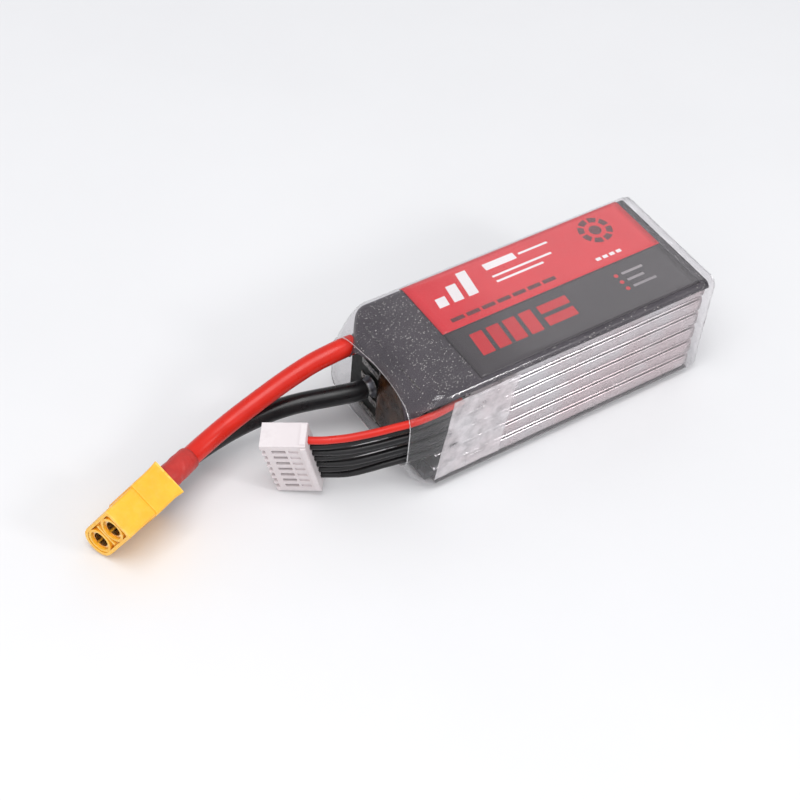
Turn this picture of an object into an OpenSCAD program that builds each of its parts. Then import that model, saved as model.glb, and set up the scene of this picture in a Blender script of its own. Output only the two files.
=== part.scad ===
// Six-cell lithium polymer pack with two power leads and a balance lead, in millimetres.
// The long axis is X, the leads leave at -X, and the pack lies on the plane Z = 0.

/* [Cells] */
// Length of one pouch cell, without its sealed ledge
cell_l = 66; // [62:1:67]
// Width of one pouch cell over its folded side seams
cell_w = 31.8; // [28:0.2:32]
// Thickness of one pouch cell
cell_t = 4.4; // [4.2:0.05:4.5]
// Length of the sealed ledge that the tabs leave
ledge_l = 5; // [3:0.5:5]
// Thickness of the sticky pad between two cells
pad_t = 0.12; // [0.1:0.01:0.14]

/* [Wrap] */
// Overall length of the shrink film
pack_l = 82; // [82:0.5:84]
// Overall width of the shrink film
pack_w = 34; // [34:0.2:36]
// Thickness of the clear shrink film
film_t = 0.35; // [0.25:0.05:0.35]
// Radius of the long edges of the wrapped pack
edge_r = 2.2; // [1.5:0.1:3]
// Thickness of the speckled insulation paper
paper_t = 0.3; // [0.2:0.05:0.3]
// Thickness of the printed labels
label_t = 0.2; // [0.1:0.05:0.2]
// Length of the top label
label_l = 59.6; // [50:0.1:60]
// Thickness of the tape on the two sides
tape_t = 0.15; // [0.1:0.05:0.2]

/* [Leads] */
// Outer diameter of a power lead
lead_d = 4.5; // [3.5:0.1:4.5]
// Outer diameter of a balance wire
wire_d = 1.7; // [1.3:0.1:1.8]
// Outer diameter of the heat shrink on a power lead
sleeve_d = 5.6; // [5.4:0.1:6]
// Length of the heat shrink on a power lead
sleeve_l = 9; // [7:0.5:9]

/* [Power connector] */
// Length of the whole housing
power_l = 16; // [15:0.5:17]
// Length of the narrower nose that enters the other half
power_nose_l = 8; // [6:0.5:9]
// Height of the housing across both contacts
power_w = 16.1; // [15.8:0.1:16.1]
// Thickness of the housing
power_t = 8.1; // [7.6:0.1:8.4]
// Distance between the two contacts
power_pitch = 7.2; // [7:0.1:7.2]
// Inner diameter of a socket contact
socket_d = 3.5; // [3.4:0.1:3.6]
// Depth of the socket bore
socket_l = 10; // [8:0.5:11]

/* [Balance connector] */
// Distance between neighbouring contacts
pitch = 2.5; // [2.5:0.1:2.5]
// Depth of the housing along the wires
balance_l = 9.8; // [9:0.1:10]
// Thickness of the housing
balance_t = 5.75; // [5.5:0.05:6]
// Length of the housing across all its contacts
balance_w = 19.9; // [19.8:0.1:20.5]

/* [Hidden] */
$fn = 32;

cell_count = 6;
wire_count = cell_count + 1;
slack = 0.15;        // air left between the film and what it holds
end_gap = 2.5;       // from the cells' far end to the end of the film
cut = 1;             // how far a cutting shape runs past what it cuts

pack_h = 2 * (film_t + slack + label_t + paper_t) + cell_count * cell_t + (cell_count - 1) * pad_t;
cells_x1 = pack_l / 2 - end_gap;
cells_x0 = cells_x1 - cell_l;
stack_z0 = film_t + slack + label_t + paper_t;
stack_z1 = pack_h - stack_z0;
paper_x1 = pack_l / 2 - 3;

function cell_z(i) = stack_z0 + (i - 1) * (cell_t + pad_t);

board_t = 1;
board_x = -36;       // front face of the tab board
board_y = [-12.6, 14.6];
board_z = [3.6, 25.4];
tab_w = 7;
tab_t = 0.2;
tab_y = 7;
tab_fold = 1.6;
slot_play = 0.3;
lead_x = -38;        // where the insulation of the power leads begins

label_x0 = -23.5;
label_y = [-15, 16.2];
tape_x = [-34, -14];
tape_z = [3, 26];
tape_slant = 3;

// Stations of the film's lead end: x, near side, far side, bottom, top, corner radius, set-back of the top edge
hood = [
    [-41, -15.4, 15.2, 8, 24.8, 4, 2.2],
    [-39, -15.9, 15.9, 4.6, 26.2, 3.6, 1.2],
    [-37, -16.4, 16.4, 2, 27.6, 3, 0.3],
    [-35, -16.8, 16.8, 0.5, 28.6, 2.6, 0]
];
// Stations of the paper's curled lip: x, near edge, far edge, top, drop at the near edge, drop at the far edge, set-back
lip = [
    [-40.6, -12.4, 9.2, 24.2, 4.5, 1.2, 2.2],
    [-39, -13, 10.5, 25.5, 3.2, 0.5, 1.2],
    [-37, -14, 13.5, 26.9, 1.8, 0.4, 0.3],
    [-35, -15.8, 15.8, 28.1, 0.4, 0.3, 0],
    [-33, -16.2, 16.2, 28.25, 0.1, 0.1, 0]
];
lip_points = 8;

// Where the power connector's rear face is centred, its turn in plan and its lean to the near side
power_at = [-88.9, 7.6, 7.82];
power_turn = 22;
power_lean = 30;
cup_l = 4;           // solder cup behind the power housing
sleeve_play = 0.1;

// Where the balance connector's rear face is centred, its turn in plan, its dip and its lean
balance_at = [-57.5, -4.9, 12.4];
balance_turn = -40;
balance_dip = -11;
balance_lean = 14;
cavity = 1.8;

lead_sides = 12;
wire_sides = 8;

red_route = [
    [-38, 11.8, 21.9], [-40, 11.95, 21.8], [-42, 12.1, 21.5], [-44.3, 12.4, 20.9],
    [-47.2, 12.8, 20], [-51, 13.1, 18.6], [-55, 13.2, 17.1], [-59, 13.15, 15.6],
    [-63, 12.95, 14.2], [-67, 12.55, 13], [-71, 11.9, 12], [-75, 10.95, 11.25],
    [-78.03, 10, 10.97], [-80.25, 9.15, 10.94], [-82.29, 8.33, 10.94], [-84.52, 7.43, 10.94]
];
black_route = [
    [-38, 6.5, 12.6], [-40, 6.7, 12.6], [-42.5, 7.4, 12.5], [-46, 8.7, 12.1],
    [-49.5, 10.1, 11.6], [-53, 11.5, 10.9], [-57, 12.8, 9.9], [-61, 13.7, 8.8],
    [-65, 14.3, 7.7], [-69, 14.6, 6.6], [-73, 14.55, 5.6], [-76.5, 14.1, 5],
    [-79.4, 13.3, 4.75], [-81.6, 12.49, 4.7], [-83.64, 11.67, 4.7], [-85.87, 10.77, 4.7]
];
// The first balance wire is the top one and the last is the lowest; the others run between these two routes
top_wire_route = [
    [-28.5, -15.6, 24.6], [-30.5, -15.6, 24.4], [-32.5, -15.5, 24], [-34.5, -15.3, 23.5],
    [-36.5, -14.9, 23], [-38.5, -14.5, 22.6], [-40.5, -14, 22.3], [-42.9, -13.3, 22.05],
    [-45.4, -12.6, 21.8], [-47.9, -11.8, 21.5], [-50.4, -10.9, 21.2], [-52.8, -9.95, 20.9],
    [-55.1, -8.75, 20.55], [-57.47, -7.29, 20.11], [-60.56, -4.7, 19.33]
];
low_wire_route = [
    [-28.5, -15.6, 12.4], [-30.5, -15.6, 12.2], [-32.5, -15.5, 11.9], [-34.5, -15.2, 11.6],
    [-36.5, -14.8, 11.4], [-38.5, -14.2, 11.1], [-40.5, -13.5, 10.8], [-42.5, -12.75, 10.3],
    [-44.5, -11.9, 9.7], [-46.4, -11, 8.95], [-48.1, -10, 8.1], [-49.8, -8.9, 7.2],
    [-51.4, -7.65, 6.4], [-53.01, -6.3, 5.83], [-56.1, -3.71, 5.04]
];
// How far each balance wire bows sideways at the middle of its run
wire_bow = [0, 0.6, -0.4, 0.7, -0.3, 0.5, 0];

// ---- general functions and shapes ----

function unit(v) = v / norm(v);

// Direction of a route at its point i
function heading(route, i) = unit(route[min(i + 1, len(route) - 1)] - route[max(i - 1, 0)]);

// One ring of a swept tube: sides points round route[i]
function tube_ring(route, i, r, sides) =
    let (ahead = heading(route, i), side = unit(cross(ahead, [0, 0, 1])), up = cross(side, ahead))
    [for (k = [0 : sides - 1]) route[i] + r * (cos(360 * k / sides) * side + sin(360 * k / sides) * up)];

// A solid through rings of equal point counts, closed at both ends
module loft(rings) {
    n = len(rings[0]);
    last = len(rings) - 1;
    polyhedron(
        points = [for (ring = rings) each ring],
        faces = [
            [for (k = [0 : n - 1]) k],
            for (i = [0 : last - 1], k = [0 : n - 1])
                let (a = i * n + k, b = i * n + (k + 1) % n) each [[b, a, a + n], [b, a + n, b + n]],
            [for (k = [n - 1 : -1 : 0]) last * n + k]
        ]
    );
}

// A curved sheet through a grid of points on its upper side
module sheet(grid, t) {
    rows = len(grid);
    cols = len(grid[0]);
    under = rows * cols;
    rim = [
        for (k = [0 : cols - 1]) k,
        for (i = [1 : rows - 1]) i * cols + cols - 1,
        for (k = [cols - 2 : -1 : 0]) (rows - 1) * cols + k,
        for (i = [rows - 2 : -1 : 1]) i * cols
    ];
    polyhedron(
        points = [for (row = grid) each row, for (row = grid, p = row) p - [0, 0, t]],
        faces = [
            for (i = [0 : rows - 2], k = [0 : cols - 2])
                let (a = i * cols + k, c = a + cols + 1, below = [under, under, under])
                each [[a, a + 1, c], [a, c, c - 1], [c, a + 1, a] + below, [c - 1, c, a] + below],
            for (j = [0 : len(rim) - 1])
                let (a = rim[j], b = rim[(j + 1) % len(rim)]) each [[b, a, a + under], [b, a + under, b + under]]
        ]
    );
}

module tube(route, d, sides) {
    loft([for (i = [0 : len(route) - 1]) tube_ring(route, i, d / 2, sides)]);
}

// Extrudes a flat shape, drawn in Y and Z, from x0 to x1
module along_x(x0, x1) {
    translate([x0, 0, 0]) rotate([90, 0, 90]) linear_extrude(x1 - x0) children();
}

// A box given by its lowest and highest corners
module block(low, high) {
    translate(low) cube(high - low);
}

module round_bar(x0, x1, r) {
    translate([x0, 0, 0]) rotate([0, 90, 0]) cylinder(h = x1 - x0, r = r);
}

module rounded_rect(w, h, r) {
    square([w - 2 * r, h], center = true);
    square([w, h - 2 * r], center = true);
    for (y = [-1, 1], z = [-1, 1])
        translate([y * (w / 2 - r), z * (h / 2 - r)]) circle(r);
}

// ---- cells and what joins them ----

module cell(i) {
    fold_t = 0.35;
    fold_h = cell_t - 0.8;
    ledge_t = 0.5;
    mid = cell_z(i) + cell_t / 2;
    color("silver") {
        translate([0, 0, mid]) along_x(cells_x0, cells_x1) rounded_rect(cell_w - 2 * fold_t, cell_t, 1.4);
        for (side = [-1, 1])
            translate([0, side * (cell_w - fold_t) / 2, mid])
                along_x(cells_x0 + 1, cells_x1 - 1) square([fold_t + 0.02, fold_h], center = true);
        block([cells_x0 - ledge_l, 1.6 - cell_w / 2, mid - ledge_t / 2],
              [cells_x0 + 0.5, cell_w / 2 - 1.6, mid + ledge_t / 2]);
    }
}

module cell_pad(i) {
    margin = 3;
    color("white")
        block([cells_x0 + margin, -cell_w / 2 + margin, cell_z(i) + cell_t],
              [cells_x1 - margin, cell_w / 2 - margin, cell_z(i + 1)]);
}

// Cells alternate, so that the plus tab of one lies over the minus tab of the next
function plus_side(i) = i % 2 == 0 ? 1 : -1;

module tab(i, side) {
    mid = cell_z(i) + cell_t / 2;
    translate([0, side * tab_y, mid]) {
        block([board_x - tab_t, -tab_w / 2, -tab_t / 2], [cells_x0 - ledge_l, tab_w / 2, tab_t / 2]);
        block([board_x - tab_t, -tab_w / 2, -tab_t / 2], [board_x, tab_w / 2, tab_fold]);
    }
}

module positive_tabs() {
    color("gainsboro") for (i = [1 : cell_count]) tab(i, plus_side(i));
}

module negative_tabs() {
    color("tan") for (i = [1 : cell_count]) tab(i, -plus_side(i));
}

module tab_board() {
    color("darkgreen") difference() {
        block([board_x, board_y[0], board_z[0]], [board_x + board_t, board_y[1], board_z[1]]);
        for (i = [1 : cell_count], side = [-1, 1])
            translate([board_x + board_t / 2, side * tab_y, cell_z(i) + cell_t / 2])
                cube([board_t + cut, tab_w + 2 * slot_play, tab_t + 2 * slot_play], center = true);
    }
}

module board_tape() {
    gap = 0.25;
    color("darkorange")
        block([board_x - tab_t - gap - tape_t, -11, board_z[0] + 1],
              [board_x - tab_t - gap, 3.4, board_z[1] - 1]);
}

// A blunt cone of solder between the board and the end of a power lead
module lead_solder() {
    color("silver") for (route = [red_route, black_route])
        translate([lead_x, route[0][1], route[0][2]]) rotate([0, 90, 0])
            cylinder(h = board_x - tab_t - lead_x, r1 = lead_d / 2 - 0.4, r2 = lead_d / 2 + 0.3);
}

function wire_point(i, k) =
    let (share = (i - 1) / (wire_count - 1), along = k / (len(top_wire_route) - 1))
    top_wire_route[k] * (1 - share) + low_wire_route[k] * share + [0, wire_bow[i - 1] * sin(180 * along), 0];

function wire_route(i) = [for (k = [0 : len(top_wire_route) - 1]) wire_point(i, k)];

// A flat strip beside the sealed ledges, from the end of each balance wire to the back of the board
module balance_taps() {
    strip_y = [-14.7, -14.35];
    strip_h = 1;
    back = board_x + board_t;
    color("silver") for (i = [1 : wire_count]) {
        start = wire_point(i, 0);
        z0 = start[2] - strip_h / 2;
        z1 = start[2] + strip_h / 2;
        block([start[0], start[1] - 0.4, z0], [start[0] + 0.6, strip_y[1], z1]);
        block([back + 0.2, strip_y[0], z0], [start[0] + 0.6, strip_y[1], z1]);
        block([back, strip_y[0] + 1, z0], [back + 0.5, board_y[0] + 1, z1]);
        block([back + 0.2, strip_y[0], z0], [back + 0.5, board_y[0] + 1, z1]);
    }
}

module foam(z0, z1) {
    color("dimgray") block([board_x + board_t + 0.2, -14, z0], [cells_x0 - 0.3, 14, z1]);
}

module top_foam() {
    foam(cell_z(cell_count) + cell_t / 2 + 0.4, stack_z1 - 0.3);
}

module bottom_foam() {
    foam(stack_z0, cell_z(1) + cell_t / 2 - 0.4);
}

// ---- insulation, labels and film ----

// The upper side of the curled lip at one station, from the near edge to the far edge
function lip_row(s) = [for (k = [0 : lip_points])
    let (u = 2 * k / lip_points - 1, drop = u < 0 ? s[4] : s[5])
    [s[0] + s[6] * (1 - u * u), s[1] + (s[2] - s[1]) * (u + 1) / 2, s[3] - drop * pow(abs(u), 4)]];

module top_paper() {
    flat_y = pack_w / 2 - film_t - slack;
    flat_x0 = -33.4;
    color("dimgray") {
        block([flat_x0, -flat_y, stack_z1], [paper_x1, flat_y, stack_z1 + paper_t]);
        sheet([for (s = lip) lip_row(s)], paper_t);
    }
}

module bottom_paper() {
    color("dimgray")
        block([-33, -cell_w / 2, stack_z0 - paper_t], [paper_x1, cell_w / 2, stack_z0]);
}

module top_label() {
    color("crimson")
        block([label_x0, label_y[0], stack_z1 + paper_t],
              [label_x0 + label_l, label_y[1], stack_z1 + paper_t + label_t]);
}

module bottom_label() {
    color("gainsboro")
        block([label_x0, -cell_w / 2 + 1, stack_z0 - paper_t - label_t],
              [label_x0 + label_l, cell_w / 2 - 1, stack_z0 - paper_t]);
}

// Tape over the roots of the tabs, with a slanting end
module side_tape(side) {
    y = side * (pack_w / 2 - film_t - tape_t / 2);
    color("whitesmoke") translate([0, y + tape_t / 2, 0]) rotate([90, 0, 0]) linear_extrude(tape_t)
        polygon([
            [tape_x[0], tape_z[0]], [tape_x[1] - tape_slant, tape_z[0]],
            [tape_x[1], tape_z[1]], [tape_x[0] + tape_slant, tape_z[1]]
        ]);
}

module near_side_tape() {
    side_tape(-1);
}

module far_side_tape() {
    side_tape(1);
}

corner_steps = 6;

// A rounded rectangle in Y and Z as a ring of points, drawn in by inset, its top set back by s[6]
function film_ring(s, inset) =
    let (
        y0 = s[1] + inset, y1 = s[2] - inset, z0 = s[3] + inset, z1 = s[4] - inset,
        r = max(s[5] - inset, 0.5),
        mid = (y0 + y1) / 2, half = (y1 - y0) / 2
    )
    [for (corner = [[y1 - r, z1 - r, 0], [y0 + r, z1 - r, 90], [y0 + r, z0 + r, 180], [y1 - r, z0 + r, 270]],
          k = [0 : corner_steps])
        let (
            a = corner[2] + 90 * k / corner_steps,
            y = corner[0] + r * cos(a), z = corner[1] + r * sin(a),
            u = (y - mid) / half, v = (z - z0) / (z1 - z0)
        )
        [s[0] + s[6] * (1 - u * u) * v, y, z]];

module shrink_film() {
    x1 = pack_l / 2;
    side = pack_w / 2;
    full = [side, pack_h, edge_r];
    ends = [[x1 - 3, 0, 0], [x1 - 1.2, 0.5, 0.4], [x1, 1.8, 0.2]];
    window = [23, 17];
    color("lightcyan", 0.35) difference() {
        loft([
            for (s = hood) film_ring(s, 0),
            film_ring([-33, -side, side, 0, pack_h, edge_r, 0], 0),
            for (e = ends) film_ring([e[0], e[1] - side, side - e[1], e[1], pack_h - e[1], edge_r, 0], 0)
        ]);
        loft([
            film_ring(hood[0] - [cut, 0, 0, 0.6, -0.6, 0, 0], film_t),
            for (s = hood) film_ring(s, film_t),
            film_ring([-33, -side, side, 0, pack_h, edge_r, 0], film_t),
            for (e = ends)
                film_ring([min(e[0], x1 - film_t), e[1] - side, side - e[1], e[1], pack_h - e[1], edge_r, 0], film_t)
        ]);
        translate([x1, 0, pack_h / 2]) cube([4 * cut, window[0], window[1]], center = true);
    }
}

// ---- power leads and their connector ----

module at_power() {
    translate(power_at) rotate([power_lean, 0, power_turn]) children();
}

// Both contact axes, the upper one first
module each_contact() {
    for (z = [1, -1]) translate([0, 0, z * power_pitch / 2]) children();
}

// Cross-section with the two lower corners cut off, so that it fits only one way round
module power_section(t, w, bevel) {
    polygon([
        [-t / 2, w / 2], [t / 2, w / 2], [t / 2, bevel - w / 2],
        [t / 2 - bevel, -w / 2], [bevel - t / 2, -w / 2], [-t / 2, bevel - w / 2]
    ]);
}

module power_housing() {
    wall = 0.35;
    hole_r = 2.35;
    grip_depth = 0.4;
    color("gold") at_power() difference() {
        union() {
            along_x(-power_l, 0) power_section(power_t - 2 * wall, power_w - 2 * wall, 2.2);
            along_x(power_nose_l - power_l, 0) power_section(power_t, power_w, 2.4);
        }
        each_contact() round_bar(-power_l - cut, cut, hole_r);
        for (side = [-1, 1], x = [-6.4, -4.9, -3.4])
            translate([x, side * power_t / 2, 0]) cube([0.7, 2 * grip_depth, 9], center = true);
    }
}

module power_contact() {
    outer_r = 2.3;
    recess = 0.6;
    front = recess - power_l;
    split_w = 0.5;
    difference() {
        round_bar(front, cup_l, outer_r);
        round_bar(front - cut, front + socket_l, socket_d / 2);
        round_bar(cup_l - 3, cup_l + cut, 1.9);
        translate([front, 0, 0]) cube([2 * 6, split_w, 3 * outer_r], center = true);
    }
}

module power_contacts() {
    color("goldenrod") at_power() each_contact() power_contact();
}

module heat_shrink() {
    difference() {
        round_bar(sleeve_play, sleeve_l, sleeve_d / 2);
        round_bar(sleeve_play - cut, sleeve_l + cut, 2.3 + sleeve_play);
    }
}

module heat_shrink_red() {
    color("firebrick") at_power() translate([0, 0, power_pitch / 2]) heat_shrink();
}

module heat_shrink_black() {
    color("black") at_power() translate([0, 0, -power_pitch / 2]) heat_shrink();
}

module main_lead_red() {
    color("red") tube(red_route, lead_d, lead_sides);
}

module main_lead_black() {
    color("black") tube(black_route, lead_d, lead_sides);
}

// ---- balance lead and its connector ----

module at_balance() {
    translate(balance_at) rotate([balance_lean, balance_dip, balance_turn]) children();
}

module each_way() {
    for (i = [0 : wire_count - 1]) translate([0, 0, pitch * ((wire_count - 1) / 2 - i)]) children();
}

module balance_wire(i) {
    color(i == 1 ? "red" : "black") tube(wire_route(i), wire_d, wire_sides);
}

module balance_housing() {
    rib_t = 0.5;
    color("white") at_balance() difference() {
        union() {
            block([-balance_l, -balance_t / 2, -balance_w / 2], [0, balance_t / 2, balance_w / 2]);
            for (z = [-1, 1]) translate([-balance_l / 2, balance_t / 2, z * (balance_w / 2 - 1.6)])
                cube([balance_l, 2 * rib_t, 0.8], center = true);
        }
        each_way() {
            translate([-balance_l / 2, 0, 0]) cube([balance_l + cut, cavity, cavity], center = true);
            translate([-balance_l + 3.4, -balance_t / 2, 0]) cube([2.6, 2.4, 1.2], center = true);
        }
        for (i = [0 : wire_count])
            translate([-balance_l, 0, pitch * (wire_count / 2 - i)]) cube([2.4, balance_t - 2.6, 0.5], center = true);
    }
}

module balance_contacts() {
    barrel = 1.3;
    color("silver") at_balance() each_way()
        translate([-4.4, 0, 0]) cube([8.8, barrel, barrel], center = true);
}

cell(1);  // cell_1
cell(2);  // cell_2
cell(3);  // cell_3
cell(4);  // cell_4
cell(5);  // cell_5
cell(6);  // cell_6
cell_pad(1);  // cell_pad_1
cell_pad(2);  // cell_pad_2
cell_pad(3);  // cell_pad_3
cell_pad(4);  // cell_pad_4
cell_pad(5);  // cell_pad_5
positive_tabs();
negative_tabs();
tab_board();
board_tape();
lead_solder();
balance_taps();
top_foam();
bottom_foam();
top_paper();
bottom_paper();
top_label();
bottom_label();
near_side_tape();
far_side_tape();
shrink_film();
main_lead_red();
main_lead_black();
heat_shrink_red();
heat_shrink_black();
power_housing();
power_contacts();
balance_wire(1);  // balance_wire_1
balance_wire(2);  // balance_wire_2
balance_wire(3);  // balance_wire_3
balance_wire(4);  // balance_wire_4
balance_wire(5);  // balance_wire_5
balance_wire(6);  // balance_wire_6
balance_wire(7);  // balance_wire_7
balance_housing();
balance_contacts();
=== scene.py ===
"""A six-cell lithium polymer pack with its power and balance leads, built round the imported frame."""
from math import copysign, cos, dist, pi, radians, sin, tau

import bmesh
import bpy
from mathutils import Matrix, Vector, noise


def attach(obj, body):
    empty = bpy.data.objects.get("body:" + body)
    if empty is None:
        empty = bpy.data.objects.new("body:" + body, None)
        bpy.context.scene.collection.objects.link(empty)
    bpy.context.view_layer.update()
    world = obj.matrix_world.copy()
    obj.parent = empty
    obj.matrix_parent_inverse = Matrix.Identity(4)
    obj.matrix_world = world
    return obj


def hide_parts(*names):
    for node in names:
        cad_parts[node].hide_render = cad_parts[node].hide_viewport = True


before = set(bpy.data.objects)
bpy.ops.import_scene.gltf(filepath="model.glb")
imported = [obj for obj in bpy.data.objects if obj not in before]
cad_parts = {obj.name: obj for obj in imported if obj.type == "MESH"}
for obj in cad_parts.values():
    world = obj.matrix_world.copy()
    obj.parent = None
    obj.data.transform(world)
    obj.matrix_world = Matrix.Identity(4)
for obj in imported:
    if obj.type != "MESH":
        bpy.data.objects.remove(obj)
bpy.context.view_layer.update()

MM = 0.001

# Sizes in millimetres, the same as in the part's source
PACK_W = 34.0
PACK_H = 29.0
FILM_T = 0.12
EDGE_R = 2.2
CELL_COUNT = 6
CELL_T = 4.4
CELL_PITCH = 4.52
CELL_W = 31.8
CELL_X = (-27.5, 38.5)
STACK_LOW = 1.0
WIRE_COUNT = 7
LEAD_D = 4.5
WIRE_D = 1.7
SLEEVE_D = 5.6
SLEEVE_L = 9.0
POWER_PITCH = 7.2
WAY_PITCH = 2.5

# Stations of the film's lead end: x, near side, far side, bottom, top, corner radius
# and set-back of the top edge
HOOD = [
    (-41, -15.4, 15.2, 8.0, 24.8, 4.0, 2.2),
    (-39, -15.9, 15.9, 4.6, 26.2, 3.6, 1.2),
    (-37, -16.4, 16.4, 2.0, 27.6, 3.0, 0.3),
    (-35, -16.8, 16.8, 0.5, 28.6, 2.6, 0.0),
    (-33, -17.0, 17.0, 0.0, 29.0, 2.2, 0.0),
]
# Stations of the paper's curled lip: x, near edge, far edge, top, drop near, drop far, set-back
LIP = [
    (-40.6, -12.4, 9.2, 24.2, 4.5, 1.2, 2.2),
    (-39, -13.0, 10.5, 25.5, 3.2, 0.5, 1.2),
    (-37, -14.0, 13.5, 26.9, 1.8, 0.4, 0.3),
    (-35, -15.8, 15.8, 28.1, 0.4, 0.3, 0.0),
    (-33, -16.4, 16.4, 28.35, 0.0, 0.0, 0.0),
]

RED_ROUTE = [
    (-38, 11.8, 21.9), (-40, 11.95, 21.8), (-42, 12.1, 21.5), (-44.3, 12.4, 20.9),
    (-47.2, 12.8, 20), (-51, 13.1, 18.6), (-55, 13.2, 17.1), (-59, 13.15, 15.6),
    (-63, 12.95, 14.2), (-67, 12.55, 13), (-71, 11.9, 12), (-75, 10.95, 11.25),
    (-78.03, 10, 10.97), (-80.25, 9.15, 10.94), (-82.29, 8.33, 10.94), (-84.52, 7.43, 10.94)
]
BLACK_ROUTE = [
    (-38, 6.5, 12.6), (-40, 6.7, 12.6), (-42.5, 7.4, 12.5), (-46, 8.7, 12.1),
    (-49.5, 10.1, 11.6), (-53, 11.5, 10.9), (-57, 12.8, 9.9), (-61, 13.7, 8.8),
    (-65, 14.3, 7.7), (-69, 14.6, 6.6), (-73, 14.55, 5.6), (-76.5, 14.1, 5),
    (-79.4, 13.3, 4.75), (-81.6, 12.49, 4.7), (-83.64, 11.67, 4.7), (-85.87, 10.77, 4.7)
]
TOP_WIRE_ROUTE = [
    (-28.5, -15.6, 24.6), (-30.5, -15.6, 24.4), (-32.5, -15.5, 24), (-34.5, -15.3, 23.5),
    (-36.5, -14.9, 23), (-38.5, -14.5, 22.6), (-40.5, -14, 22.3), (-42.9, -13.3, 22.05),
    (-45.4, -12.6, 21.8), (-47.9, -11.8, 21.5), (-50.4, -10.9, 21.2), (-52.8, -9.95, 20.9),
    (-55.1, -8.75, 20.55), (-57.47, -7.29, 20.11), (-60.56, -4.7, 19.33)
]
LOW_WIRE_ROUTE = [
    (-28.5, -15.6, 12.4), (-30.5, -15.6, 12.2), (-32.5, -15.5, 11.9), (-34.5, -15.2, 11.6),
    (-36.5, -14.8, 11.4), (-38.5, -14.2, 11.1), (-40.5, -13.5, 10.8), (-42.5, -12.75, 10.3),
    (-44.5, -11.9, 9.7), (-46.4, -11, 8.95), (-48.1, -10, 8.1), (-49.8, -8.9, 7.2),
    (-51.4, -7.65, 6.4), (-53.01, -6.3, 5.83), (-56.1, -3.71, 5.04)
]
# How far each wire bows sideways
WIRE_BOW = (0, 0.6, -0.4, 0.7, -0.3, 0.5, 0)


def placed(at, roll, dip, turn):
    """Place of a connector: its rear face's centre, then its roll, dip and turn in degrees."""
    turns = (Matrix.Rotation(radians(a), 4, axis) for a, axis in ((turn, "Z"), (dip, "Y"), (roll, "X")))
    place = Matrix.Translation(at)
    for step in turns:
        place = place @ step
    return place


POWER_PLACE = placed((-88.9, 7.6, 7.82), 30, 0, 22)
BALANCE_PLACE = placed((-57.5, -4.9, 12.4), 14, -11, -40)


# ---- camera ----

def add_object(name, data):
    thing = bpy.data.objects.new(name, data)
    bpy.context.scene.collection.objects.link(thing)
    return thing


def place_camera():
    data = bpy.data.cameras.new("camera")
    data.lens = 85
    data.sensor_width = 36
    data.clip_start = 0.01
    camera = add_object("camera", data)
    camera.location = (-0.2046, -0.2217, 0.314)
    aim = Vector((-0.032, 0.001, 0.011)) - camera.location
    tilt = Matrix.Rotation(radians(6), 4, "Z")
    camera.rotation_euler = (aim.to_track_quat("-Z", "Y").to_matrix().to_4x4() @ tilt).to_euler()
    bpy.context.scene.camera = camera


# ---- node groups ----

def new_group(name, inputs, outputs):
    """An empty node group with inputs (label, kind, value) and outputs (label, kind), and their sockets."""
    tree = bpy.data.node_groups.new(name, "ShaderNodeTree")
    for label, kind, value in inputs:
        socket = tree.interface.new_socket(label, in_out="INPUT", socket_type="NodeSocket" + kind)
        socket.default_value = value
    for label, kind in outputs:
        tree.interface.new_socket(label, in_out="OUTPUT", socket_type="NodeSocket" + kind)
    return tree, tree.nodes.new("NodeGroupInput").outputs, tree.nodes.new("NodeGroupOutput").inputs


def add_node(tree, kind, **settings):
    node = tree.nodes.new("ShaderNode" + kind)
    for key, value in settings.items():
        setattr(node, key, value)
    return node


def feed(tree, socket, value):
    """Sets a socket to a number, or links another socket to it."""
    if isinstance(value, (int, float)):
        socket.default_value = value
    else:
        tree.links.new(value, socket)


def mix_colour(tree, share, first, second):
    """Mixes two colour sockets by a share."""
    mix = add_node(tree, "Mix", data_type="RGBA")
    for i, source in ((0, share), (6, first), (7, second)):
        tree.links.new(source, mix.inputs[i])
    return mix.outputs[2]


def math_node(tree, operation, *values, clamp=False):
    """The result of one operation on sockets or numbers."""
    node = add_node(tree, "Math", operation=operation, use_clamp=clamp)
    for socket, value in zip(node.inputs, values):
        feed(tree, socket, value)
    return node.outputs[0]


def product(tree, result, *others):
    for other in others:
        result = math_node(tree, "MULTIPLY", result, other)
    return result


def between(tree, value, low, high, to_low=0.0, to_high=1.0):
    """Maps value from low..high to to_low..to_high; each bound is a socket or a number."""
    node = add_node(tree, "MapRange", interpolation_type="SMOOTHSTEP")
    for socket, given in zip(node.inputs, (value, low, high, to_low, to_high)):
        feed(tree, socket, given)
    return node.outputs[0]


def noise_of(tree, where, scale, detail=3.0, rough=0.5, distortion=0.0, ridged=False):
    node = add_node(tree, "TexNoise")
    if ridged:
        node.noise_type = "RIDGED_MULTIFRACTAL"
    tree.links.new(where, node.inputs["Vector"])
    feed(tree, node.inputs["Scale"], scale)
    node.inputs["Detail"].default_value = detail
    node.inputs["Roughness"].default_value = rough
    node.inputs["Distortion"].default_value = distortion
    return node.outputs[0]


def blend_out(tree, mask, given, out, second):
    """Gives out the colour with a second one blended over it by a mask, and the mask."""
    colour = mix_colour(tree, mask, given["Color"], given[second])
    tree.links.new(colour, out["Color"])
    tree.links.new(mask, out["Mask"])
    return tree


def object_place(tree):
    return add_node(tree, "TexCoord").outputs["Object"]


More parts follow.
